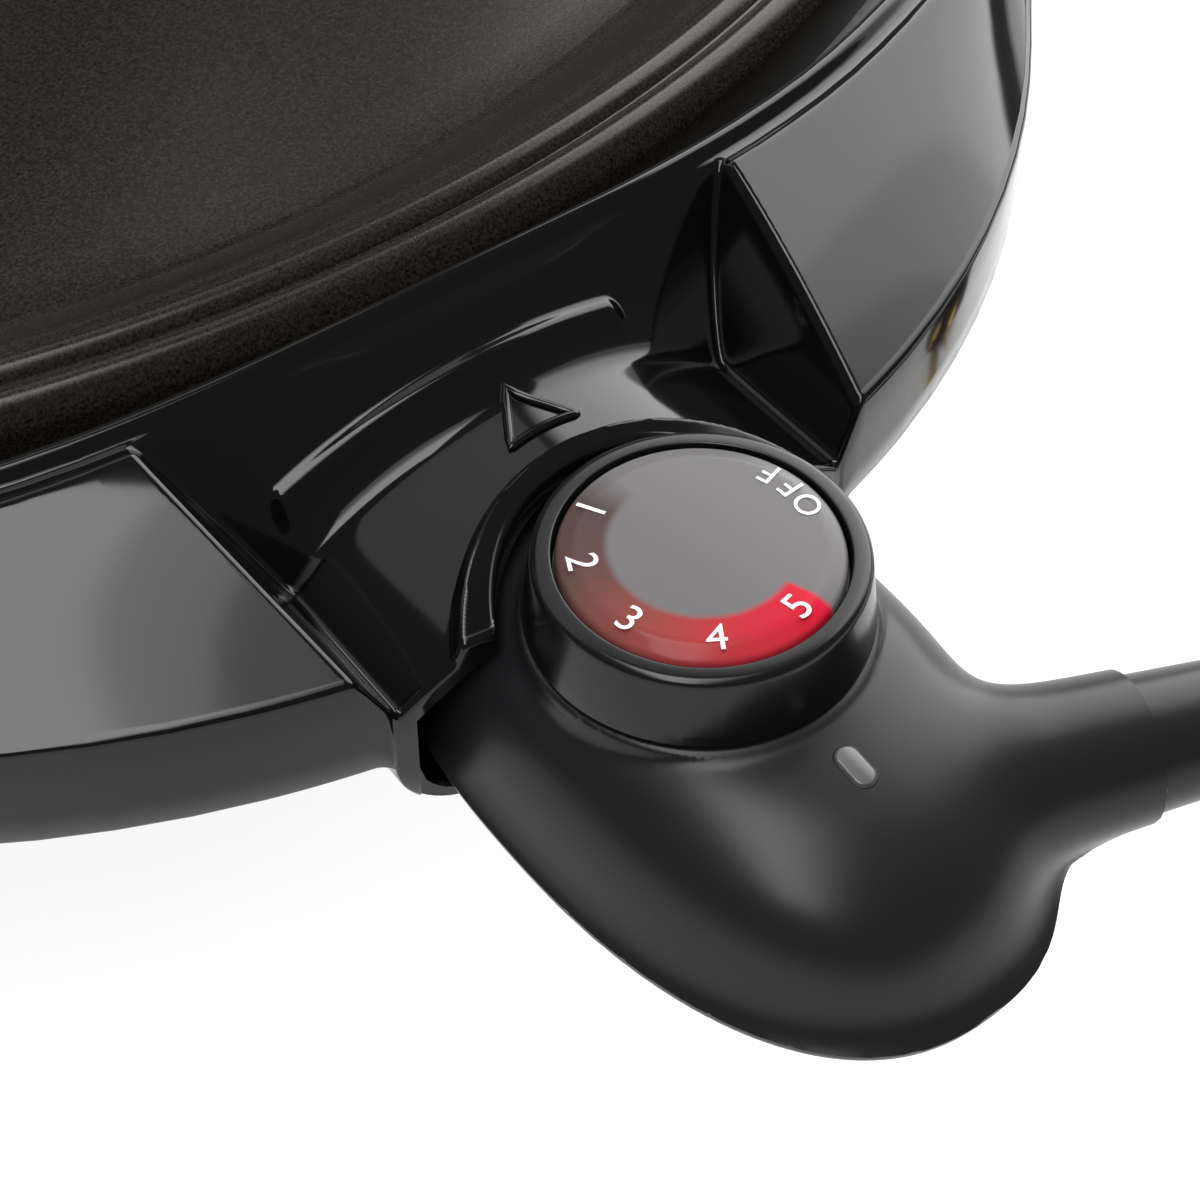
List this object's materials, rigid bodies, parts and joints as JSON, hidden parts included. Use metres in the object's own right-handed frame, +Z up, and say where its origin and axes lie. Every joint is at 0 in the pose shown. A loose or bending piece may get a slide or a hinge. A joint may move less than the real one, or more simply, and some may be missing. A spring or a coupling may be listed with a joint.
{
  "type": "electric outdoor grill",
  "caption": "Round electric grill with a nonstick plate in a winged black rim, a hinged lid, a grease tray and a plug-in temperature control with a cord.",
  "frame": {"origin": "on the plate's axis at table level, at the mouth of the stand socket", "axes": "+X right, +Y back to the lid's hinge, +Z up; the control is at -Y"},
  "size_m": [0.5703, 0.7974, 0.609],
  "materials": {
    "gloss_black": "gloss black moulded phenolic plastic",
    "satin_black": "satin black moulded plastic",
    "knob_black": "satin-gloss black plastic",
    "dial_clear": "clear moulded plastic over a printed dial",
    "lamp_clear": "frosted clear plastic",
    "lamp_glass": "neon lamp",
    "nonstick": "speckled bronze-grey nonstick coating on cast aluminium",
    "pan_paint": "heat-resistant dark grey paint on sheet steel",
    "lid_paint": "black enamel on sheet aluminium",
    "bright_steel": "bright steel",
    "bracket_paint": "dark grey paint on pressed steel",
    "sheath_steel": "oxidised steel sheath",
    "reflector_alu": "plain aluminium sheet",
    "ceramic": "white steatite ceramic",
    "pad_rubber": "black rubber",
    "cord_rubber": "black cord jacket",
    "tie_plastic": "black plastic tie",
    "brass": "plain brass"
  },
  "bodies": {
    "base": {"rim_housing": "gloss_black", "base_pan": "pan_paint", "heat_reflector": "reflector_alu", "grill_plate": "nonstick", "heating_element": "sheath_steel", "terminal_pins": "bright_steel", "terminal_bracket": "bright_steel", "probe_socket": "bright_steel", "element_clips": "bright_steel", "clip_screws": "bright_steel", "rim_screws": "bright_steel", "feet": "gloss_black", "foot_pads": "pad_rubber", "foot_screws": "bright_steel", "stand_socket": "gloss_black", "tray_runners": "bright_steel", "hinge_bracket": "bracket_paint", "bracket_screws": "bright_steel", "hinge_pin": "bright_steel"},
    "lid": {"hinge_arm": "bracket_paint", "arm_rivets": "bright_steel", "lid_dome": "lid_paint", "lid_edge": "bright_steel", "handle_posts": "bright_steel", "lid_handle": "gloss_black", "handle_screws": "bright_steel"},
    "control": {"control_upper_shell": "satin_black", "control_lower_shell": "satin_black", "shell_screws": "bright_steel", "lamp_lens": "lamp_clear", "pilot_lamp": "lamp_glass", "probe_rod": "bright_steel", "contact_sleeves": "brass", "contact_block": "ceramic", "thermostat_switch": "ceramic", "cord_clamp": "satin_black", "strain_relief": "cord_rubber", "power_cord": "cord_rubber", "cord_coil": "cord_rubber", "coil_tie": "tie_plastic", "plug_body": "cord_rubber", "plug_pins": "brass"},
    "dial": {"dial_knob": "knob_black", "dial_lens": "dial_clear", "dial_spindle": "bright_steel"},
    "tray": {"grease_tray": "bright_steel"}
  },
  "joints": [
    {"name": "lid_hinge", "type": "hinge", "parent": "base", "child": "lid", "pos_m": [0, 0.262, 0.124], "axis": [1, 0, 0], "range_deg": [0, 100]},
    {"name": "control_slide", "type": "slide", "parent": "base", "child": "control", "axis": [0, -1, 0], "range_m": [0, 0.11]},
    {"name": "dial_turn", "type": "hinge", "parent": "control", "child": "dial", "pos_m": [0, -0.2688, 0.1], "axis": [0, 0, 1], "range_deg": [-195, 86]},
    {"name": "tray_slide", "type": "slide", "parent": "base", "child": "tray", "axis": [0, 1, 0], "range_m": [0, 0.13]}
  ]
}
